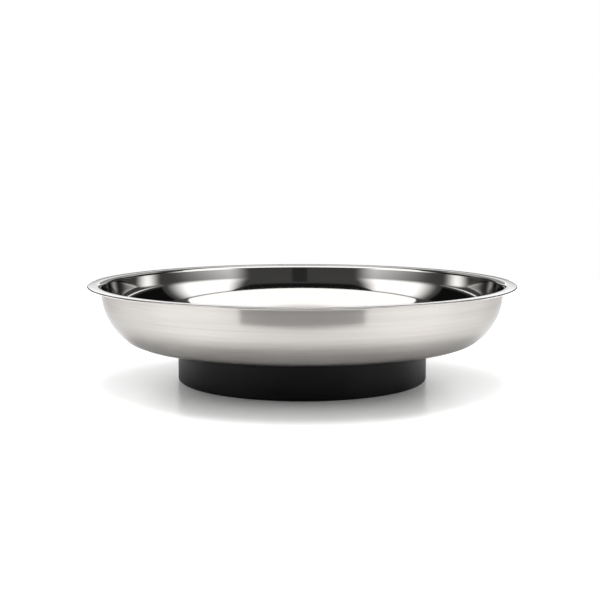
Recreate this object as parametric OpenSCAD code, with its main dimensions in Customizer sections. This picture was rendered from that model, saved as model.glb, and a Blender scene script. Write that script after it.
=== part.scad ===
// Magnetic parts tray: a pressed stainless dish, pulled by a welded stud and a nut
// against a ring magnet on a dished steel plate, with a rubber boot over the magnet.
// The origin is the centre of the boot's underside, +Z is up, sizes are millimetres.

/* [Dish] */
// Diameter over the flange
dish_d = 150; // [130:1:200]
// Height from the underside of the floor to the top of the flange
dish_h = 20; // [18:0.5:40]
// Thickness of the sheet
sheet_t = 0.6; // [0.4:0.1:1]
// Width of the flange outside the wall
flange_w = 4.2; // [3:0.1:8]
// Radius of the bend under the flange
flange_bend_r = 0.8; // [0.4:0.1:1.5]
// Lean of the wall from upright, in degrees
wall_lean = 8; // [2:0.5:15]
// Outside radius of the corner below the wall
corner_r = 21; // [12:0.5:23]
// Lean of the sheet where the corner runs into the toe, in degrees
corner_end = 50; // [40:1:65]
// Outside radius of the toe that runs into the floor
toe_r = 8; // [3:0.5:12]

/* [Magnet] */
// Diameter of the ring magnet
magnet_d = 80; // [60:1:90]
// Diameter of the hole through it
magnet_bore = 40; // [34:1:50]
// Its thickness
magnet_h = 10; // [8.5:0.5:20]
// Chamfer on its edges
magnet_chamfer = 0.5; // [0.2:0.1:1]

/* [Clamp plate] */
// Thickness of the plate
plate_t = 1.5; // [1:0.1:2.5]
// How far its edge stands out past the magnet
plate_lip = 2; // [1:0.1:3]
// Radius of the bends of its hub, on the tight side
hub_bend_r = 1; // [0.5:0.1:1.5]
// Gap between the hub's lower bend and the hole in the magnet
hub_gap = 0.3; // [0.1:0.1:1]
// Radial gap between the hole in the hub and the stud
hub_hole_gap = 0.25; // [0.1:0.05:0.5]

/* [Boot] */
// Thickness of the boot outside the plate's edge
boot_wall = 1.8; // [1.2:0.1:4]
// Thickness of its floor
boot_floor = 2.5; // [1.5:0.1:4]
// Gap around the plate's edge
boot_plate_gap = 0.2; // [0.1:0.1:0.5]
// Gap around the magnet
boot_magnet_gap = 0.3; // [0.1:0.1:0.8]
// Width of the ring that the boot stands on
foot_w = 9; // [4:0.5:20]
// Depth of the recess inside that ring
foot_recess = 0.5; // [0.2:0.1:1]
// Radius of the boot's lower edge
boot_low_r = 0.8; // [0.3:0.1:1.2]
// Radius of the boot's upper edge
boot_top_r = 0.5; // [0.2:0.1:1]

/* [Fasteners] */
// Diameter of the stud's thread
thread_d = 5; // [4:0.5:6]
// Chamfer on the end of the stud
stud_chamfer = 0.6; // [0.3:0.1:1]
// Diameter of the stud's welding flange
stud_flange_d = 6.5; // [6.5:0.5:12]
// Thickness of that flange
stud_flange_t = 0.9; // [0.6:0.1:1.4]
// Length of thread that shows past the nut
stud_tail = 0.6; // [0.3:0.1:1.5]
// Gap between the end of the stud and the boot's floor
tail_gap = 0.5; // [0.3:0.1:2]
// Diameter of the flat washer
washer_d = 10; // [9:0.5:15]
// Thickness of the flat washer
washer_t = 1; // [0.5:0.1:1.6]
// Diameter of the spring washer
spring_d = 9.2; // [8.4:0.1:12]
// Thickness of the spring washer
spring_t = 1.2; // [0.8:0.1:1.6]
// Width of the slit in the spring washer
spring_slit = 0.6; // [0.3:0.1:1]
// Radial gap between the washers and the thread
washer_gap = 0.15; // [0.05:0.05:0.3]
// Width of the nut across its flats
nut_af = 8; // [8:0.5:13]
// Height of the nut
nut_h = 4; // [2.5:0.1:5]
// Radial gap between the thread of the nut and that of the stud
thread_gap = 0.05; // [0.02:0.01:0.1]

/* [Hidden] */
$fn = 144;

// Heights above the surface that the tray stands on
plate_z = boot_floor;
magnet_z = plate_z + plate_t;
dish_z = magnet_z + magnet_h;
tail_z = boot_floor + tail_gap;
nut_z = tail_z + stud_tail;
spring_z = nut_z + nut_h;
washer_z = spring_z + spring_t;
hub_under_z = washer_z + washer_t;

// Depth by which neighbouring outlines of the dish run into each other, so that they cross
tuck = 0.0005;
// Angle by which a rounded corner of the dish runs on inside its neighbour
lap = 3;

// Centres of the dish's arcs, with heights from the underside of its floor
flange_under = dish_h - sheet_t;
wall_top_r = dish_d / 2 - flange_w;
wall_drop = flange_under - corner_r * (sin(corner_end) - sin(wall_lean)) - toe_r * (1 - sin(corner_end));
corner_in = corner_r * (cos(wall_lean) - cos(corner_end));
wall_foot = [wall_top_r, flange_under] - wall_drop / cos(wall_lean) * heading(90 - wall_lean);
floor_r = wall_foot.x - corner_in - toe_r * cos(corner_end);
toe_c = [floor_r + 2 * tuck, toe_r];
corner_c = toe_c - (corner_r - toe_r + tuck) * heading(-corner_end);
flange_setback = flange_bend_r * tan((90 - wall_lean) / 2);
flange_bend_c = [wall_top_r + flange_setback, flange_under - flange_bend_r];

// Radii of the base
magnet_r = magnet_d / 2;
plate_r = magnet_r + plate_lip;
hub_r = magnet_bore / 2 - hub_gap - hub_bend_r;
groove_r = plate_r + boot_plate_gap;
mouth_r = magnet_r + boot_magnet_gap;
boot_r = groove_r + boot_wall;

// Nut: its sides, the angle of its chamfer, and the chamfer's circle as a share of the width across flats
nut_sides = 6;
nut_chamfer_angle = 30;
nut_face_share = 0.95;
// Slope of the slit in a spring washer
spring_slit_tilt = 20;
// Room past a surface for a cut to clear it
over = 1;

// Unit vector at an angle anticlockwise from +X
function heading(a) = [cos(a), sin(a)];

// Wedge with its point at the origin, from angle a0 to a1, reaching past radius r
module wedge(r, a0, a1) {
    reach = 2 * r;
    polygon([[0, 0], reach * heading(a0), reach * heading((a0 + a1) / 2), reach * heading(a1)]);
}

// Sector of a disc
module sector(r, a0, a1) {
    intersection() {
        circle(r = r);
        wedge(r, a0, a1);
    }
}

// Section of a bend in sheet of thickness t, with radius r on its tight side
module bend(centre, r, t, a0, a1) {
    translate(centre)
        difference() {
            sector(r + t, a0, a1);
            circle(r = r);
        }
}

// Ring about the Z axis, standing on z
module ring(z, h, r_out, r_in) {
    translate([0, 0, z])
        difference() {
            cylinder(r = r_out, h = h);
            translate([0, 0, -over]) cylinder(r = r_in, h = h + 2 * over);
        }
}

// Section of all that lies above the underside of the dish, or above that face moved inwards by inset
module above(inset) {
    bend_r = flange_bend_r + inset;
    foot = wall_foot - inset * heading(-wall_lean);
    head = foot + dish_h * heading(90 - wall_lean);
    polygon([[0, inset], [toe_c.x, inset], toe_c, foot, head, [0, head.y]]);
    translate(toe_c) sector(toe_r - inset, -90, lap - corner_end);
    translate(corner_c) sector(corner_r - inset, -corner_end, lap - wall_lean);
    translate([0, flange_under + inset]) square([dish_d, dish_h]);
    translate(flange_bend_c)
        difference() {
            wedge(bend_r, 90, 180 - wall_lean);
            circle(r = bend_r + tuck);
        }
}

// Pressed dish: floor, toe, corner, leaning wall and a flat flange with a rounded edge
module dish() {
    edge_c = [dish_d / 2 - sheet_t / 2, dish_h - sheet_t / 2];
    color("silver")
        translate([0, 0, dish_z])
            rotate_extrude() {
                intersection() {
                    difference() {
                        above(0);
                        above(sheet_t);
                    }
                    square([edge_c.x, dish_h + over]);
                }
                translate(edge_c) sector(sheet_t / 2, -90, 90);
            }
}

// Threaded stud, welded by its flange to the underside of the dish
module weld_stud() {
    thread_r = thread_d / 2;
    flange_z = dish_z - stud_flange_t;
    color("gainsboro")
        rotate_extrude()
            polygon([
                [0, tail_z], [thread_r - stud_chamfer, tail_z], [thread_r, tail_z + stud_chamfer],
                [thread_r, flange_z], [stud_flange_d / 2, flange_z], [stud_flange_d / 2, dish_z], [0, dish_z]
            ]);
}

// Ferrite ring magnet with chamfered edges, held between the plate and the dish
module ring_magnet() {
    bore_r = magnet_bore / 2;
    c = magnet_chamfer;
    color("dimgray")
        rotate_extrude()
            polygon([
                [bore_r + c, magnet_z], [magnet_r - c, magnet_z], [magnet_r, magnet_z + c],
                [magnet_r, dish_z - c], [magnet_r - c, dish_z], [bore_r + c, dish_z],
                [bore_r, dish_z - c], [bore_r, magnet_z + c]
            ]);
}

// Steel plate under the magnet, dished up into a hub that rises inside it
module clamp_plate() {
    hole_r = thread_d / 2 + hub_hole_gap;
    low_c = [hub_r + hub_bend_r, magnet_z + hub_bend_r];
    high_c = [hub_r - plate_t - hub_bend_r, hub_under_z - hub_bend_r];
    color("lightgray")
        rotate_extrude() {
            translate([low_c.x, plate_z]) square([plate_r - low_c.x, plate_t]);
            bend(low_c, hub_bend_r, plate_t, 180, 270);
            translate([hub_r - plate_t, low_c.y]) square([plate_t, high_c.y - low_c.y]);
            bend(high_c, hub_bend_r, plate_t, 0, 90);
            translate([hole_r, hub_under_z]) square([high_c.x - hole_r, plate_t]);
        }
}

// Flat washer under the hub
module flat_washer() {
    color("lightgray") ring(washer_z, washer_t, washer_d / 2, thread_d / 2 + washer_gap);
}

// Spring washer, closed flat by the nut, with its slanting slit
module spring_washer() {
    hole_r = thread_d / 2 + washer_gap;
    color("darkgray")
        difference() {
            ring(spring_z, spring_t, spring_d / 2, hole_r);
            translate([spring_d / 2, 0, spring_z + spring_t / 2])
                rotate([spring_slit_tilt, 0, 0])
                    cube([spring_d, spring_slit, spring_t + 2 * over], center = true);
        }
}

// Hexagon nut with both faces chamfered and both mouths of its thread countersunk
module hex_nut() {
    corner = nut_af / 2 / cos(180 / nut_sides);
    face_r = nut_face_share * nut_af / 2;
    rim_r = corner + over;
    rise = (rim_r - face_r) * tan(nut_chamfer_angle);
    bore_r = thread_d / 2 + thread_gap;
    sink = stud_chamfer / 2;
    color("gainsboro")
        translate([0, 0, nut_z])
            difference() {
                intersection() {
                    cylinder(r = corner, h = nut_h, $fn = nut_sides);
                    rotate_extrude()
                        polygon([
                            [0, 0], [face_r, 0], [rim_r, rise],
                            [rim_r, nut_h - rise], [face_r, nut_h], [0, nut_h]
                        ]);
                }
                rotate_extrude()
                    polygon([
                        [0, -over], [bore_r + sink, -over], [bore_r + sink, 0],
                        [bore_r, sink], [bore_r, nut_h - sink],
                        [bore_r + sink, nut_h], [bore_r + sink, nut_h + over], [0, nut_h + over]
                    ]);
            }
}

// Rubber boot: it snaps over the plate's edge, and its top meets the underside of the dish
module rubber_boot() {
    foot_in = boot_r - foot_w;
    groove_top = magnet_z + boot_plate_gap;
    low_c = [boot_r - boot_low_r, boot_low_r];
    top_c = [boot_r - boot_top_r, dish_z - boot_top_r];
    lead = boot_top_r;
    color([0.09, 0.09, 0.09])
        rotate_extrude() {
            polygon([
                [0, foot_recess], [foot_in - foot_recess, foot_recess], [foot_in, 0],
                [low_c.x, 0], low_c, [boot_r, low_c.y],
                [boot_r, top_c.y], top_c, [top_c.x, dish_z],
                [mouth_r + lead, dish_z], [mouth_r, dish_z - lead],
                [mouth_r, groove_top], [groove_r, groove_top], [groove_r, boot_floor], [0, boot_floor]
            ]);
            translate(low_c) sector(boot_low_r, -90, 0);
            translate(top_c) sector(boot_top_r, 0, 90);
        }
}

dish();
weld_stud();
ring_magnet();
clamp_plate();
flat_washer();
spring_washer();
hex_nut();
rubber_boot();
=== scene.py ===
"""Looks of a magnetic parts tray: a pressed stainless dish on a ring magnet in a black rubber boot.

Lengths are in metres and angles in degrees.
"""
import math

import bpy
import numpy as np
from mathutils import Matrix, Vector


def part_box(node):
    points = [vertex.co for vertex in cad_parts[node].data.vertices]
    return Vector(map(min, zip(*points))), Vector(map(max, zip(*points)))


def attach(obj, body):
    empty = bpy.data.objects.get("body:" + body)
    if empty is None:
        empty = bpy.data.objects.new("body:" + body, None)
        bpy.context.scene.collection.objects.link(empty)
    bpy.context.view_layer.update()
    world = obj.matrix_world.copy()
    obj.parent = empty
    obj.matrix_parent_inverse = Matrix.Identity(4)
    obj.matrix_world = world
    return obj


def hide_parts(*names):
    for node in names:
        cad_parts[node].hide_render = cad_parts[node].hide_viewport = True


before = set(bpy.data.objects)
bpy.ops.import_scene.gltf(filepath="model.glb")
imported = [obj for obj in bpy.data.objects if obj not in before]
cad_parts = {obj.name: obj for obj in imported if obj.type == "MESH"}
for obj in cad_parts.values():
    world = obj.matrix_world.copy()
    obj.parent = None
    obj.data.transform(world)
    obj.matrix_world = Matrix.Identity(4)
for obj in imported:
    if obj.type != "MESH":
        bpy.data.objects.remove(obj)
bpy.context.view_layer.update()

MM = 0.001

# Pressed dish: its section, and the material slots of its three finishes
SHEET = 0.6 * MM
FLANGE_WIDTH = 4.2 * MM
FLANGE_BEND = 0.8 * MM
FLANGE_CROWN = 1
WALL_LEAN = 8
CORNER_RADIUS = 21 * MM
CORNER_END = 50
TOE_RADIUS = 8 * MM
SATIN, POLISHED, SHEARED = range(3)

# Rubber boot
FOOT_WIDTH = 9 * MM
FOOT_RECESS = 0.5 * MM
BOOT_LOW_RADIUS = 0.8 * MM
BOOT_TOP_RADIUS = 0.5 * MM
BOOT_EDGE_RADIUS = 0.15 * MM
MAGNET_GAP = 0.3 * MM
PLATE_GAP = 0.2 * MM

# Stud and nut, with an M5 thread: its flats are shares of the pitch
THREAD_RADIUS = 2.5 * MM
THREAD_PITCH = 0.8 * MM
THREAD_DEPTH = 0.49 * MM
THREAD_GAP = 0.05 * MM
CREST_FLAT = 1 / 8
ROOT_FLAT = 1 / 4
STUD_CHAMFER = 0.6 * MM
STUD_FLANGE = 0.9 * MM
NUT_BORE_RADIUS = 2.07 * MM
NUT_MOUTH_RADIUS = 2.85 * MM
NUT_FACE_SHARE = 0.95
NUT_CHAMFER = 30
NUT_SIDES = 6

# Fineness of the meshes, and the share of a step that rounding may add
ROUND_STEPS = 288
STRAIGHT_STEP = 6 * MM
TURN_STEP = 4
THREAD_ROUND_STEPS = 96
THREAD_STEP = 0.05 * MM
SHARP_ANGLE = 35
CLOTH_STEPS = 16
ROOF_STEPS = 96
ROUNDING = 1e-9

# Usual reach of a noise, which is spread over the reach of what the noise changes
NOISE_REACH = {"From Min": 0.3, "From Max": 0.7}

# Camera: where it stands, how far it looks down, and its lens and sensor in millimetres
CAMERA_PLACE = (-0.78 * MM, -390.5 * MM, 73.5 * MM)
CAMERA_PITCH = 6.711
CAMERA_LENS = 66.38
SENSOR_WIDTH = 36
NEAREST_SEEN = 10 * MM

# Light tent: the radius of its round plan, its roof, which is dimmer round one place, and the room's light
TENT_RADIUS = 1.5
ROOF_HEIGHT = 1.3
ROOF_RADIUS = 1.63
ROOF_BACK = 0.35
ROOF_LIGHT = 2.2
ROOF_DIM_PLACE = (0, 0.12, ROOF_HEIGHT)
ROOF_DIM_RADIUS = 0.45
ROOF_DIM_SHARE = 0.45
ROOM_LIGHT = 0.09

# Lamps in the tent: one under the roof, and the right one of a pair behind the tray
ROOF_LAMP = dict(place=(0, 0, 1.28), radius=0.3, light=18)
BACK_LAMP = dict(place=(0.83, 1.19, 0.53), radius=0.4, light=19)

# Panels of the tent, each between the heights of its foot and top. A span holds the turns round the table
# from the front at which a panel begins and ends. Hems are the shares of its width and height over which it
# fades at its beginning, end, foot and top.
# In the middle: the back's bright foot, dimmer wall and bright head, the camera's stand, and the dark front
# of the room.
BACK_SPAN = (163, 197)
STAND_SPAN = (-4, 7)
MIDDLE_PANELS = {
    "back_foot": dict(
        foot=0.15, top=0.26, light=2.6,
        foot_span=BACK_SPAN, top_span=BACK_SPAN, hems=(0.1, 0.1, 0.6, 0.4)),
    "back": dict(
        foot=0.262, top=1.2, light=0.75,
        foot_span=BACK_SPAN, top_span=BACK_SPAN, hems=(0.05, 0.05, 0.02, 0.02)),
    "back_head": dict(
        foot=1.202, top=2.8, light=2.35,
        foot_span=BACK_SPAN, top_span=BACK_SPAN, hems=(0.1, 0.1, 0.2, 0.05)),
    "stand": dict(
        foot=0, top=1.2, light=0.04,
        foot_span=STAND_SPAN, top_span=STAND_SPAN, hems=(0.1, 0.1, 0.1, 0.1)),
    "front": dict(
        foot=0.64, top=1.12, light=0.012, radius=1.45,
        foot_span=(-34, 34), top_span=(-54, 54), hems=(0.05, 0.05, 0.4, 0.03)),
}
# On the right, with a mirror image on the left: the bright side, the low flank behind it, the thin rail over
# the flank, the dark gap over the rail, and the dim side of the back.
RAIL_SPAN = (92, 140)
PAIRED_PANELS = {
    "side": dict(
        foot=0.195, top=1.2, light=2.4,
        foot_span=(32, 98), top_span=(45, 101), hems=(0.26, 0.33, 0.22, 0.14)),
    "flank": dict(
        foot=0.05, top=0.24, light=2.1,
        foot_span=(108, 130), top_span=(96, 115), hems=(0.5, 0.5, 0.4, 0.5)),
    "rail": dict(
        foot=0.245, top=0.285, light=2,
        foot_span=RAIL_SPAN, top_span=RAIL_SPAN, hems=(0.7, 0.1, 0.3, 0.3)),
    "gap": dict(
        foot=0.29, top=1.1, light=0.008,
        foot_span=(99.5, 155), top_span=(102, 112), hems=(0.04, 0.1, 0.1, 0.1)),
    "back_side": dict(
        foot=0.6, top=1.5, light=0.9,
        foot_span=(145, 162.5), top_span=(116, 162.5), hems=(0.3, 0.05, 0.3, 0.1)),
}

# Table, and the grey floor of the room that the dish's front mirrors
TABLE_REACH = 0.6
TABLE_BACK = 0.35
TABLE_GLOW = 0.04
GREY_NEAR = -113 * MM
GREY_NEAR_HALF = 50 * MM
GREY_FAR = -600 * MM
GREY_FAR_HALF = 400 * MM
GREY_LIFT = 0.3 * MM


def walk(start, heading, legs):
    """Section as a walk in the plane of radius and height.

    Each leg (length, radius, turn) goes straight and then turns on that radius, to the left where the turn is
    positive. The heading is the running sum of the turns, and a point is the running sum of the chords before
    it. Returns the points, the heading at each, and for each step between them its move: an even number is
    the straight part of a leg and the next odd number is its turn.
    """
    length, radius, turn = np.array(legs, float).T
    steps = np.stack([np.ceil(length / STRAIGHT_STEP - ROUNDING), np.ceil(np.abs(turn) / TURN_STEP)], 1)
    steps = steps.ravel().astype(int)
    share = 1 / np.maximum(steps, 1)
    bend = np.radians(np.stack([0 * turn, turn], 1).ravel()) * share
    straight = np.stack([length, 0 * length], 1).ravel() * share
    chord = straight + 2 * np.repeat(radius, 2) * np.abs(np.sin(bend / 2))
    move = np.repeat(np.arange(len(steps)), steps)
    headings = np.radians(heading) + np.concatenate([[0], np.cumsum(bend[move])])
    along = headings[:-1] + bend[move] / 2
    strides = chord[move, None] * np.stack([np.cos(along), np.sin(along)], 1)
    points = np.array(start) + np.concatenate([[[0, 0]], np.cumsum(strides, 0)])
    return points, headings, move


def carried_round(name, points, headings, finish):
    """Closed mesh of a section carried round the Z axis: x = r cos a, y = r sin a.

    The section starts and ends on the axis, and each of those ends is one vertex. The normal is the heading
    turned to the right by a right angle. finish gives each step's material slot. The UV map holds the share
    of the way round and the length along the section.
    """
    count = ROUND_STEPS
    around = np.arange(count) * (2 * math.pi / count)
    ring = np.stack([np.cos(around), np.sin(around), np.ones(count)], 1)
    out, up = np.sin(headings), -np.cos(headings)

    def spread(radial, axial):
        rows = np.stack([radial, radial, axial], 1)[:, None] * ring
        return np.concatenate([rows[0, :1], rows[1:-1].reshape(-1, 3), rows[-1, :1]])

    places = spread(points[:, 0], points[:, 1])
    normals = spread(out, up)
    index = 1 + np.arange((len(points) - 2) * count).reshape(-1, count)
    ahead = np.roll(index, -1, 1)
    first = np.stack([np.zeros(count, int), ahead[0], index[0]], 1)
    quads = np.stack([index[:-1], ahead[:-1], ahead[1:], index[1:]], -1).reshape(-1, 4)
    last = np.stack([index[-1], ahead[-1], np.full(count, len(places) - 1)], 1)
    mesh = bpy.data.meshes.new(name)
    mesh.from_pydata(places, [], first.tolist() + quads.tolist() + last.tolist())

    run = np.concatenate([[0], np.cumsum(np.linalg.norm(np.diff(points, axis=0), axis=1))])
    here = np.arange(count) / count
    there = here + 1 / count
    middle = (here + there) / 2
    ones = np.ones(count)
    low, high = (np.broadcast_to(v[:, None], (len(run) - 3, count)) for v in (run[1:-2], run[2:-1]))
    u = np.broadcast_to(np.stack([here, there, there, here], 1), (len(run) - 3, count, 4))
    uv = np.concatenate([
        np.stack([middle, run[0] * ones, there, run[1] * ones, here, run[1] * ones], 1).ravel(),
        np.stack([u, np.stack([low, low, high, high], -1)], -1).ravel(),
        np.stack([here, run[-2] * ones, there, run[-2] * ones, middle, run[-1] * ones], 1).ravel(),
    ])
    mesh.uv_layers.new(name="around").data.foreach_set("uv", uv.astype(np.float32))
    mesh.polygons.foreach_set("material_index", np.repeat(finish, count).astype(np.int32))
    mesh.shade_smooth()
    mesh.normals_split_custom_set_from_vertices(normals)
    mesh.update()
    return mesh


def dish_mesh():
    """Pressed sheet: out along the underside, round the flange's edge and back along the inside.

    The underside is the floor, the toe, the corner, the leaning wall, the bend and the slightly crowned
    flange. The inside is the same walk back, with each radius smaller or larger by the sheet's thickness. The
    finish is satin up to the edge, sheared round it, and polished from the flange's top inwards.
    """
    low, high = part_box("dish")
    lean, corner_end, crown = np.radians([WALL_LEAN, CORNER_END, FLANGE_CROWN])
    edge = SHEET / 2
    flange = FLANGE_WIDTH - edge - FLANGE_BEND * math.tan(math.radians(90 - WALL_LEAN) / 2)
    crown_radius = flange / 2 / math.sin(crown)
    bend_out = FLANGE_BEND * (math.cos(lean) - math.sin(crown))
    bend_rise = FLANGE_BEND * (math.cos(crown) - math.sin(lean))
    corner_out = CORNER_RADIUS * (math.cos(lean) - math.cos(corner_end))
    corner_rise = CORNER_RADIUS * (math.sin(corner_end) - math.sin(lean))
    toe_out = TOE_RADIUS * math.cos(corner_end)
    toe_rise = TOE_RADIUS * (1 - math.sin(corner_end))
    flange_rise = crown_radius * (1 - math.cos(crown)) + SHEET
    wall_rise = high.z - low.z - toe_rise - corner_rise - bend_rise - flange_rise
    wall_out = wall_rise * math.tan(lean)
    floor = high.x - toe_out - corner_out - wall_out - bend_out - flange - edge * (1 + math.sin(crown))
    wall = wall_rise / math.cos(lean)
    toe_turn = 90 - CORNER_END
    corner_turn = CORNER_END - WALL_LEAN
    bend_turn = 90 - WALL_LEAN - FLANGE_CROWN
    round_edge = (0, edge, 180)
    legs = [
        (floor, TOE_RADIUS, toe_turn),
        (0, CORNER_RADIUS, corner_turn),
        (wall, FLANGE_BEND, -bend_turn),
        (0, crown_radius, -2 * FLANGE_CROWN),
        round_edge,
        (0, crown_radius + SHEET, 2 * FLANGE_CROWN),
        (0, FLANGE_BEND + SHEET, bend_turn),
        (wall, CORNER_RADIUS - SHEET, -corner_turn),
        (0, TOE_RADIUS - SHEET, -toe_turn),
        (floor, 0, 0),
    ]
    points, headings, move = walk((0, low.z), 0, legs)
    edge_move = 2 * legs.index(round_edge) + 1
    finish = np.select([move < edge_move, move == edge_move], [SATIN, SHEARED], POLISHED)
    return carried_round("pressed_dish", points, headings, finish)


def boot_mesh():
    """Rubber boot: the recess, the foot and the outer wall, then over the top and back down the inside.

    Lengths are taken between sharp corners, and each corner's radius takes radius times tan(turn / 2) off
    both of its legs. A slope at 45 degrees is longer than its rise by the root of two.
    """
    low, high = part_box("rubber_boot")
    plate_low, plate_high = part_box("clamp_plate")
    magnet_low, magnet_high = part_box("ring_magnet")
    edge = BOOT_EDGE_RADIUS
    foot_in = high.x - FOOT_WIDTH
    mouth = magnet_high.x + MAGNET_GAP
    groove = plate_high.x + PLATE_GAP
    groove_top = magnet_low.z + PLATE_GAP
    lead = BOOT_TOP_RADIUS
    slope = math.sqrt(2)
    legs = np.array([
        (foot_in - FOOT_RECESS, edge, -45),
        (slope * FOOT_RECESS, edge, 45),
        (FOOT_WIDTH, BOOT_LOW_RADIUS, 90),
        (high.z - low.z, BOOT_TOP_RADIUS, 90),
        (high.x - mouth - lead, edge, 45),
        (slope * lead, edge, 45),
        (high.z - lead - groove_top, edge, 90),
        (groove - mouth, edge, -90),
        (groove_top - plate_low.z, edge, -90),
        (groove, 0, 0),
    ])
    set_back = legs[:, 1] * np.tan(np.radians(np.abs(legs[:, 2])) / 2)
    legs[:, 0] -= set_back + np.concatenate([[0], set_back[:-1]])
    points, headings, move = walk((0, low.z + FOOT_RECESS), 0, legs)
    return carried_round("moulded_boot", points, headings, 0 * move)


def ringed_mesh(name, radius, height, closed):
    """Mesh of rings round the Z axis: x = r cos a, y = r sin a, with r and z given on a grid.

    A row of the grid is a ring, and the rings run up the outside. Where the section is closed the last ring
    joins the first, and otherwise a flat face fills both.
    """
    rows, count = radius.shape
    around = np.arange(count) * (2 * math.pi / count)
    places = np.stack([radius * np.cos(around), radius * np.sin(around), height], -1).reshape(-1, 3)
    index = np.arange(rows * count).reshape(rows, count)
    rings = np.concatenate([index, index[:1]]) if closed else index
    ahead = np.roll(rings, -1, 1)
    faces = np.stack([rings[:-1], ahead[:-1], ahead[1:], rings[1:]], -1).reshape(-1, 4).tolist()
    if not closed:
        faces += [index[0, ::-1].tolist(), index[-1].tolist()]
    mesh = bpy.data.meshes.new(name)
    mesh.from_pydata(places, [], faces)
    mesh.shade_smooth()
    mesh.set_sharp_from_angle(angle=math.radians(SHARP_ANGLE))
    mesh.update()
    return mesh


def thread_grid(low, high):
    """Heights from low to high and turns round the axis, on a grid with a row for each height."""
    heights = np.linspace(low, high, math.ceil((high - low) / THREAD_STEP) + 1)
    turns = np.linspace(0, 2 * math.pi, THREAD_ROUND_STEPS, endpoint=False)
    return np.meshgrid(heights, turns, indexing="ij")


def thread_radius(height, around):
    """Radius of a right-hand thread, at its crest less the depth of its groove.

    The place in a pitch is the height in pitches less the turns round the axis. The depth is none over the
    crest's flat and full over the root's, and changes evenly down each flank between them.
    """
    place = 2 * np.abs((height / THREAD_PITCH - around / (2 * math.pi)) % 1 - 0.5)
    flank = np.clip((place - ROOT_FLAT) / (1 - ROOT_FLAT - CREST_FLAT), 0, 1)
    return THREAD_RADIUS - THREAD_DEPTH * (1 - flank)


def stud_mesh():
    """Stud: its thread up to the flange, cut by the cone of its end's chamfer, then round the flange."""
    low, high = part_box("weld_stud")
    flange_low = high.z - STUD_FLANGE
    height, around = thread_grid(low.z, flange_low)
    cone = THREAD_RADIUS - STUD_CHAMFER + height - low.z
    shank = np.minimum(thread_radius(height, around), cone)
    flange = np.full((2, THREAD_ROUND_STEPS), high.x)
    flange_height = np.repeat([[flange_low], [high.z]], THREAD_ROUND_STEPS, 1)
    radius = np.concatenate([shank, flange])
    return ringed_mesh("threaded_stud", radius, np.concatenate([height, flange_height]), closed=False)


def nut_mesh():
    """Nut: up its six sides, which the cones of its two chamfers cut, then down its thread.

    A side's radius is half the width across the flats over the cosine of the turn from its middle. The thread
    is the stud's with a gap, cut by the bore and by the cones of its two mouths.
    """
    low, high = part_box("hex_nut")
    flat = high.x * math.cos(math.pi / NUT_SIDES)
    height, around = thread_grid(low.z, high.z)
    near = np.minimum(height - low.z, high.z - height)
    side_turn = around % (2 * math.pi / NUT_SIDES) - math.pi / NUT_SIDES
    chamfer = NUT_FACE_SHARE * flat + near / math.tan(math.radians(NUT_CHAMFER))
    outside = np.minimum(flat / np.cos(side_turn), chamfer)
    thread = np.maximum(thread_radius(height, around) + THREAD_GAP, NUT_BORE_RADIUS)
    inside = np.maximum(thread, NUT_MOUTH_RADIUS - near)
    radius = np.concatenate([outside, inside[::-1]])
    return ringed_mesh("threaded_nut", radius, np.concatenate([height, height[::-1]]), closed=True)


def linear(colour):
    """Linear colour of an sRGB one that is written as six hex digits, by the two parts of the sRGB curve."""
    srgb = np.array([int(colour[i:i + 2], 16) for i in (0, 2, 4)]) / 255
    return (*np.where(srgb <= 0.04045, srgb / 12.92, ((srgb + 0.055) / 1.055) ** 2.4), 1)


def add(tree, kind, inputs=None, **settings):
    """Adds a node with its settings. inputs gives each socket's value, or the output that feeds it."""
    made = tree.nodes.new("ShaderNode" + kind)
    for name, value in settings.items():
        setattr(made, name, value)
    for name, value in (inputs or {}).items():
        if isinstance(value, bpy.types.NodeSocket):
            tree.links.new(value, made.inputs[name])
        else:
            made.inputs[name].default_value = value
    return made


def finish_of(name):
    """Empty material and its node tree."""
    made = bpy.data.materials.new(name)
    made.use_nodes = True
    made.node_tree.nodes.clear()
    return made, made.node_tree


def lines_round(tree, place, pitch, streak):
    """Noise from 0 to 1 that is drawn out round the Z axis, as brushes, wheels and lathes leave it.

    It is read at x and y over the length of a streak, which change slowly, and at radius plus height over the
    pitch of the lines, which is the same all the way round.
    """
    level = add(tree, "VectorMath", {0: place, 1: (1, 1, 0)}, operation="MULTIPLY").outputs[0]
    radius = add(tree, "VectorMath", {0: level}, operation="LENGTH").outputs["Value"]
    height = add(tree, "SeparateXYZ", {0: place}).outputs["Z"]
    run = add(tree, "Math", {0: radius, 1: height}, operation="ADD").outputs[0]
    line = add(tree, "Math", {0: run, 1: pitch}, operation="DIVIDE").outputs[0]
    across = add(tree, "CombineXYZ", {"Z": line}).outputs[0]
    spot = add(tree, "VectorMath", {0: level, 1: (1 / streak,) * 3, 2: across}, operation="MULTIPLY_ADD")
    noise = {"Vector": spot.outputs[0], "Scale": 1, "Detail": 3, "Roughness": 0.6}
    return add(tree, "TexNoise", noise).outputs["Fac"]


def tinted(tree, noise, low, high):
    """Colour that goes from low to high, as hex values, where the noise goes over its usual reach."""
    share = add(tree, "MapRange", {**NOISE_REACH, "Value": noise}).outputs[0]
    colours = {"Factor": share, "A": linear(low), "B": linear(high)}
    return add(tree, "Mix", colours, data_type="RGBA").outputs["Result"]


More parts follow.
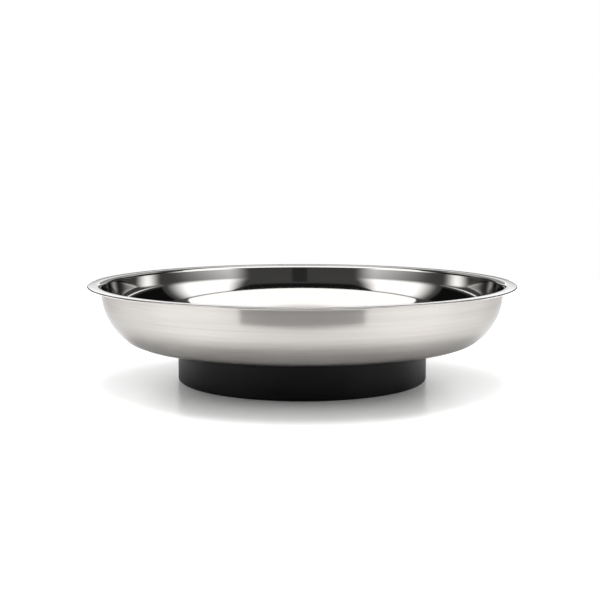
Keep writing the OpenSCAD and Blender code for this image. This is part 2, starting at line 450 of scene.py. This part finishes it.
def satin_stainless():
    """Stainless sheet, brushed round the dish with a fine belt.

    A pale warm grey. The belt's lines run round the dish, so they blur what it mirrors far more up and down
    than sideways. The real lines are about 0.05 mm apart. They are drawn coarser, to show in the render.
    """
    made, tree = finish_of("stainless_satin_brushed")
    place = add(tree, "TexCoord").outputs["Object"]
    lines = lines_round(tree, place, pitch=1.2 * MM, streak=60 * MM)
    worn = add(tree, "TexNoise", {"Vector": place, "Scale": 1 / (30 * MM), "Detail": 2}).outputs["Fac"]
    rough = add(tree, "MapRange", {**NOISE_REACH, "Value": worn, "To Min": 0.17, "To Max": 0.21})
    shader = add(tree, "BsdfPrincipled", {
        "Base Color": tinted(tree, lines, "A09D9A", "AAA7A4"),
        "Metallic": 1,
        "Roughness": rough.outputs[0],
        "Specular Tint": linear("C8C8C8"),
        "Anisotropic": 0.7,
        "Anisotropic Rotation": 0.25,
        "Tangent": add(tree, "Tangent", direction_type="UV_MAP", uv_map="around").outputs[0],
        "Normal": add(tree, "Bump", {"Height": lines, "Strength": 1, "Distance": 0.0013 * MM}).outputs[0],
    })
    add(tree, "OutputMaterial", {"Surface": shader.outputs[0]})
    return made


def polished_stainless():
    """Stainless sheet, polished on a mop to a mirror.

    It shows its surroundings sharp, a little darker and warmer than they are. The drawing leaves the sheet
    wavy by a few thousandths of a millimetre, and the mop leaves faint hazy rings.
    """
    made, tree = finish_of("stainless_mirror_polished")
    place = add(tree, "TexCoord").outputs["Object"]
    rings = lines_round(tree, place, pitch=3 * MM, streak=90 * MM)
    waves = add(tree, "TexNoise", {"Vector": place, "Scale": 1 / (16 * MM), "Detail": 1}).outputs["Fac"]
    rough = add(tree, "MapRange", {**NOISE_REACH, "Value": rings, "To Min": 0.045, "To Max": 0.075})
    shader = add(tree, "BsdfPrincipled", {
        "Base Color": tinted(tree, rings, "B5B3B1", "BAB8B6"),
        "Metallic": 1,
        "Roughness": rough.outputs[0],
        "Specular Tint": linear("C8C8C8"),
        "Normal": add(tree, "Bump", {"Height": waves, "Strength": 1, "Distance": 0.006 * MM}).outputs[0],
    })
    add(tree, "OutputMaterial", {"Surface": shader.outputs[0]})
    return made


def sheared_stainless():
    """Stainless sheet at its sheared edge, deburred and buffed round.

    Fairly bright, less sharp in what it mirrors than the polished inside, with the wheel's short scratches.
    """
    made, tree = finish_of("stainless_sheared_edge")
    place = add(tree, "TexCoord").outputs["Object"]
    scratches = lines_round(tree, place, pitch=0.2 * MM, streak=4 * MM)
    rough = add(tree, "MapRange", {**NOISE_REACH, "Value": scratches, "To Min": 0.1, "To Max": 0.16})
    shader = add(tree, "BsdfPrincipled", {
        "Base Color": tinted(tree, scratches, "A3A09D", "B2AFAC"),
        "Metallic": 1,
        "Roughness": rough.outputs[0],
        "Normal": add(tree, "Bump", {"Height": scratches, "Strength": 1, "Distance": 0.004 * MM}).outputs[0],
    })
    add(tree, "OutputMaterial", {"Surface": shader.outputs[0]})
    return made


def moulded_rubber():
    """Nitrile rubber from a spark eroded mould: near black, with a fine grain and a soft, low, uneven sheen.

    The grain is about 0.1 mm in the mould. It is drawn coarser, to show in the render.
    """
    made, tree = finish_of("rubber_moulded_black")
    place = add(tree, "TexCoord").outputs["Object"]
    grain = add(tree, "TexNoise", {"Vector": place, "Scale": 1 / (0.5 * MM), "Detail": 2}).outputs["Fac"]
    sheen = add(tree, "TexNoise", {"Vector": place, "Scale": 1 / (9 * MM), "Detail": 2}).outputs["Fac"]
    rough = add(tree, "MapRange", {**NOISE_REACH, "Value": sheen, "To Min": 0.37, "To Max": 0.45})
    shader = add(tree, "BsdfPrincipled", {
        "Base Color": tinted(tree, sheen, "060607", "09090A"),
        "Roughness": rough.outputs[0],
        "IOR": 1.52,
        "Specular IOR Level": 0.14,
        "Normal": add(tree, "Bump", {"Height": grain, "Strength": 1, "Distance": 0.012 * MM}).outputs[0],
    })
    add(tree, "OutputMaterial", {"Surface": shader.outputs[0]})
    return made


def formed_stainless():
    """Stainless wire, cold headed into a stud: bright grey, with the lines of the rolling dies round it."""
    made, tree = finish_of("stainless_cold_formed")
    place = add(tree, "TexCoord").outputs["Object"]
    lines = lines_round(tree, place, pitch=0.3 * MM, streak=200 * MM)
    rough = add(tree, "MapRange", {**NOISE_REACH, "Value": lines, "To Min": 0.2, "To Max": 0.32})
    shader = add(tree, "BsdfPrincipled", {
        "Base Color": tinted(tree, lines, "A19E9A", "B4B1AD"),
        "Metallic": 1,
        "Roughness": rough.outputs[0],
        "Normal": add(tree, "Bump", {"Height": lines, "Strength": 1, "Distance": 0.004 * MM}).outputs[0],
    })
    add(tree, "OutputMaterial", {"Surface": shader.outputs[0]})
    return made


def sintered_ferrite():
    """Ferrite, pressed, sintered and ground: charcoal and matt, with pale specks and a finely pitted skin."""
    made, tree = finish_of("ferrite_sintered_ground")
    place = add(tree, "TexCoord").outputs["Object"]
    grain = add(tree, "TexNoise", {"Vector": place, "Scale": 1 / (0.8 * MM), "Detail": 4}).outputs["Fac"]
    patches = add(tree, "TexNoise", {"Vector": place, "Scale": 1 / (12 * MM), "Detail": 2}).outputs["Fac"]
    rough = add(tree, "MapRange", {**NOISE_REACH, "Value": patches, "To Min": 0.5, "To Max": 0.65})
    shader = add(tree, "BsdfPrincipled", {
        "Base Color": tinted(tree, grain, "2B2B2D", "414144"),
        "Roughness": rough.outputs[0],
        "IOR": 2.4,
        "Specular IOR Level": 0.2,
        "Normal": add(tree, "Bump", {"Height": grain, "Strength": 1, "Distance": 0.03 * MM}).outputs[0],
    })
    add(tree, "OutputMaterial", {"Surface": shader.outputs[0]})
    return made


def zinc_plated_steel():
    """Steel, zinc plated and clear passivated: a cool, bright, cloudy grey, partly bluish or yellowish."""
    made, tree = finish_of("steel_zinc_plated")
    place = add(tree, "TexCoord").outputs["Object"]
    cast = add(tree, "TexNoise", {"Vector": place, "Scale": 1 / (5 * MM), "Detail": 2}).outputs["Fac"]
    spangle = add(tree, "TexNoise", {"Vector": place, "Scale": 1 / (0.7 * MM), "Detail": 3}).outputs["Fac"]
    rough = add(tree, "MapRange", {**NOISE_REACH, "Value": spangle, "To Min": 0.24, "To Max": 0.38})
    shader = add(tree, "BsdfPrincipled", {
        "Base Color": tinted(tree, cast, "A9B0B8", "BCB9AC"),
        "Metallic": 1,
        "Roughness": rough.outputs[0],
        "Normal": add(tree, "Bump", {"Height": spangle, "Strength": 1, "Distance": 0.004 * MM}).outputs[0],
    })
    add(tree, "OutputMaterial", {"Surface": shader.outputs[0]})
    return made


def stand_for(name, mesh, node, slot, *finishes):
    """Puts a mesh in the scene as the piece that stands for a node of the frame."""
    made = bpy.data.objects.new(name, mesh)
    bpy.context.scene.collection.objects.link(made)
    for finish in finishes:
        mesh.materials.append(finish)
    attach(made, "root")
    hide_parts(node)


dish_finishes = (satin_stainless(), polished_stainless(), sheared_stainless())
stand_for("pressed_dish", dish_mesh(), "dish", "stainless", *dish_finishes)
stand_for("moulded_boot", boot_mesh(), "rubber_boot", "rubber", moulded_rubber())
zinc = zinc_plated_steel()
stand_for("threaded_stud", stud_mesh(), "weld_stud", "stainless", formed_stainless())
stand_for("threaded_nut", nut_mesh(), "hex_nut", "zinc_steel", zinc)
inner_finishes = {
    "ring_magnet": sintered_ferrite(), "clamp_plate": zinc, "flat_washer": zinc, "spring_washer": zinc,
}
for node, finish in inner_finishes.items():
    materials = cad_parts[node].data.materials
    materials.clear()
    materials.append(finish)


def flat_stage(name, corners, height, finish):
    """Level sheet on the stage, with its corners anticlockwise."""
    mesh = bpy.data.meshes.new(name)
    mesh.from_pydata([(x, y, height) for x, y in corners], [], [range(len(corners))])
    mesh.materials.append(finish)
    made = bpy.data.objects.new(name, mesh)
    bpy.context.scene.collection.objects.link(made)
    return made


def white_acrylic():
    """Cast acrylic sheet: white, with a soft short reflection of what stands on it.

    It glows faintly to the camera alone, and is clear from below, so that the tray's underside can be seen.
    """
    made, tree = finish_of("acrylic_cast_white")
    seen = add(tree, "LightPath").outputs["Is Camera Ray"]
    glow = add(tree, "Math", {0: seen, 1: TABLE_GLOW}, operation="MULTIPLY")
    shader = add(tree, "BsdfPrincipled", {
        "Base Color": linear("EDEDED"), "Roughness": 0.2, "IOR": 1.49, "Specular IOR Level": 0.25,
        "Emission Color": (1, 1, 1, 1), "Emission Strength": glow.outputs[0],
    })
    below = add(tree, "NewGeometry").outputs["Backfacing"]
    clear = add(tree, "BsdfTransparent").outputs[0]
    sides = add(tree, "MixShader", {0: below, 1: shader.outputs[0], 2: clear})
    add(tree, "OutputMaterial", {"Surface": sides.outputs[0]})
    return made


def grey_carpet():
    """Felt: grey and without gloss."""
    made, tree = finish_of("felt_grey")
    felt = {"Base Color": linear("8C8C8C"), "Roughness": 1, "Specular IOR Level": 0}
    shader = add(tree, "BsdfPrincipled", felt)
    add(tree, "OutputMaterial", {"Surface": shader.outputs[0]})
    return made


def table():
    """Pale floor under the tray, and the grey floor of the room in front of it, which only mirrors show."""
    reach, back = TABLE_REACH, TABLE_BACK
    pale_corners = [(-reach, -reach), (reach, -reach), (reach, back), (-reach, back)]
    flat_stage("table", pale_corners, 0, white_acrylic())
    near, far = GREY_NEAR_HALF, GREY_FAR_HALF
    grey_corners = [(-far, GREY_FAR), (far, GREY_FAR), (near, GREY_NEAR), (-near, GREY_NEAR)]
    grey = flat_stage("room_floor", grey_corners, GREY_LIFT, grey_carpet())
    grey.visible_camera = False
    grey.visible_diffuse = False
    grey.visible_shadow = False


def camera():
    """Camera in front of the tray, looking back along Y and a little down, with the photo's view."""
    lens = bpy.data.cameras.new("camera")
    lens.lens = CAMERA_LENS
    lens.sensor_width = SENSOR_WIDTH
    lens.clip_start = NEAREST_SEEN
    stand = bpy.data.objects.new("camera", lens)
    stand.location = CAMERA_PLACE
    stand.rotation_euler = (math.radians(90 - CAMERA_PITCH), 0, 0)
    bpy.context.scene.collection.objects.link(stand)
    bpy.context.scene.camera = stand


def lamp(name, place, radius, light):
    """Round lamp that faces the tray, and that neither the camera nor a mirror shows.

    Its power is pi times its area times its brightness.
    """
    made = bpy.data.lights.new(name, "AREA")
    made.shape = "DISK"
    made.size = 2 * radius
    made.energy = light * math.pi * math.pi * radius ** 2
    stand = bpy.data.objects.new(name, made)
    stand.location = place
    stand.rotation_euler = stand.location.to_track_quat("Z", "Y").to_euler()
    stand.visible_glossy = False
    stand.visible_camera = False
    bpy.context.scene.collection.objects.link(stand)


def roof_cloth():
    """Nylon diffuser lit from above: white, and dimmer where a lamp's housing stands on it."""
    made, tree = finish_of("nylon_diffuser_roof")
    place = add(tree, "TexCoord").outputs["Object"]
    away = add(tree, "VectorMath", {0: place, 1: ROOF_DIM_PLACE}, operation="DISTANCE").outputs["Value"]
    dimmed = ROOF_DIM_SHARE * ROOF_LIGHT
    reach = {"Value": away, "From Max": ROOF_DIM_RADIUS, "To Min": dimmed, "To Max": ROOF_LIGHT}
    glow = add(tree, "MapRange", reach, interpolation_type="SMOOTHSTEP").outputs[0]
    shader = add(tree, "Emission", {"Strength": glow})
    add(tree, "OutputMaterial", {"Surface": shader.outputs[0]})
    return made


def tent_roof():
    """Level cloth over the table: x = a cos t, y = b sin t, where b is a in front and less behind."""
    turn = np.arange(ROOF_STEPS) * (2 * math.pi / ROOF_STEPS)
    depth = np.where(np.sin(turn) < 0, ROOF_RADIUS, ROOF_BACK)
    outline = np.stack([ROOF_RADIUS * np.cos(turn), depth * np.sin(turn)], 1)
    roof = flat_stage("roof", outline, ROOF_HEIGHT, roof_cloth())
    roof.visible_camera = False


def lit_cloth(hems, light):
    """Nylon diffuser lit from behind, fading to the room's light towards its four hems.

    The fade at a hem is a smooth step over a share of the cloth's width or height. The four are multiplied.
    """
    made, tree = finish_of("nylon_diffuser")
    place = add(tree, "SeparateXYZ", {0: add(tree, "UVMap", uv_map="hems").outputs[0]})
    begin, end, foot, top = hems
    share = 1
    for axis, hem, full in (("X", 0, begin), ("X", 1, 1 - end), ("Y", 0, foot), ("Y", 1, 1 - top)):
        fade = {"Value": place.outputs[axis], "From Min": hem, "From Max": full}
        edge = add(tree, "MapRange", fade, interpolation_type="SMOOTHSTEP")
        share = add(tree, "Math", {0: edge.outputs[0], 1: share}, operation="MULTIPLY").outputs[0]
    glow = add(tree, "MapRange", {"Value": share, "To Min": ROOM_LIGHT, "To Max": light})
    shader = add(tree, "Emission", {"Strength": glow.outputs[0]})
    add(tree, "OutputMaterial", {"Surface": shader.outputs[0]})
    return made


def tent_wall(name, foot, top, foot_span, top_span, hems, light, radius=TENT_RADIUS):
    """Upright cloth on a round plan, which the camera doesn't see.

    A place on it is a turn round the table from the front and a height. The turn runs between the ends of a
    span, and both the span and the height go evenly from the foot to the top.
    """
    across, up = np.meshgrid(np.linspace(0, 1, CLOTH_STEPS + 1), np.linspace(0, 1, CLOTH_STEPS + 1))
    begin = foot_span[0] + up * (top_span[0] - foot_span[0])
    end = foot_span[1] + up * (top_span[1] - foot_span[1])
    turn = np.radians(begin + across * (end - begin))
    height = foot + up * (top - foot)
    places = np.stack([radius * np.sin(turn), -radius * np.cos(turn), height], -1).reshape(-1, 3)
    index = np.arange(len(places)).reshape(turn.shape)
    faces = np.stack([index[:-1, :-1], index[:-1, 1:], index[1:, 1:], index[1:, :-1]], -1).reshape(-1, 4)
    mesh = bpy.data.meshes.new(name)
    mesh.from_pydata(places, [], faces.tolist())
    shares = np.stack([across, up], -1).reshape(-1, 2)
    mesh.uv_layers.new(name="hems").data.foreach_set("uv", shares[faces.ravel()].ravel().astype(np.float32))
    mesh.materials.append(lit_cloth(hems, light))
    made = bpy.data.objects.new(name, mesh)
    made.visible_camera = False
    bpy.context.scene.collection.objects.link(made)


def mirrored(panel):
    """The same panel on the other side of the table, where its turns go the other way."""
    foot_span, top_span = (tuple(-turn for turn in panel[key]) for key in ("foot_span", "top_span"))
    return dict(panel, foot_span=foot_span, top_span=top_span)


def light_tent():
    """Tent round the table: its roof, its panels and its lamps."""
    tent_roof()
    lamp("roof_lamp", **ROOF_LAMP)
    for name, panel in MIDDLE_PANELS.items():
        tent_wall(name, **panel)
    for name, panel in PAIRED_PANELS.items():
        tent_wall(name + "_left", **mirrored(panel))
        tent_wall(name + "_right", **panel)
    away, back, height = BACK_LAMP["place"]
    lamp("back_lamp_left", **dict(BACK_LAMP, place=(-away, back, height)))
    lamp("back_lamp_right", **BACK_LAMP)


def dim_room():
    """Room round the tent: dim to every ray but the camera's own, which finds a white backdrop."""
    made = bpy.data.worlds.new("dim_room")
    made.use_nodes = True
    tree = made.node_tree
    tree.nodes.clear()
    seen = add(tree, "LightPath").outputs["Is Camera Ray"]
    light = add(tree, "Math", {0: seen, 1: ROOM_LIGHT}, operation="MAXIMUM")
    glow = add(tree, "Background", {"Color": (1, 1, 1, 1), "Strength": light.outputs[0]})
    add(tree, "OutputWorld", {"Surface": glow.outputs[0]})
    bpy.context.scene.world = made


table()
camera()
light_tent()
dim_room()
bpy.context.scene.view_settings.view_transform = "Standard"
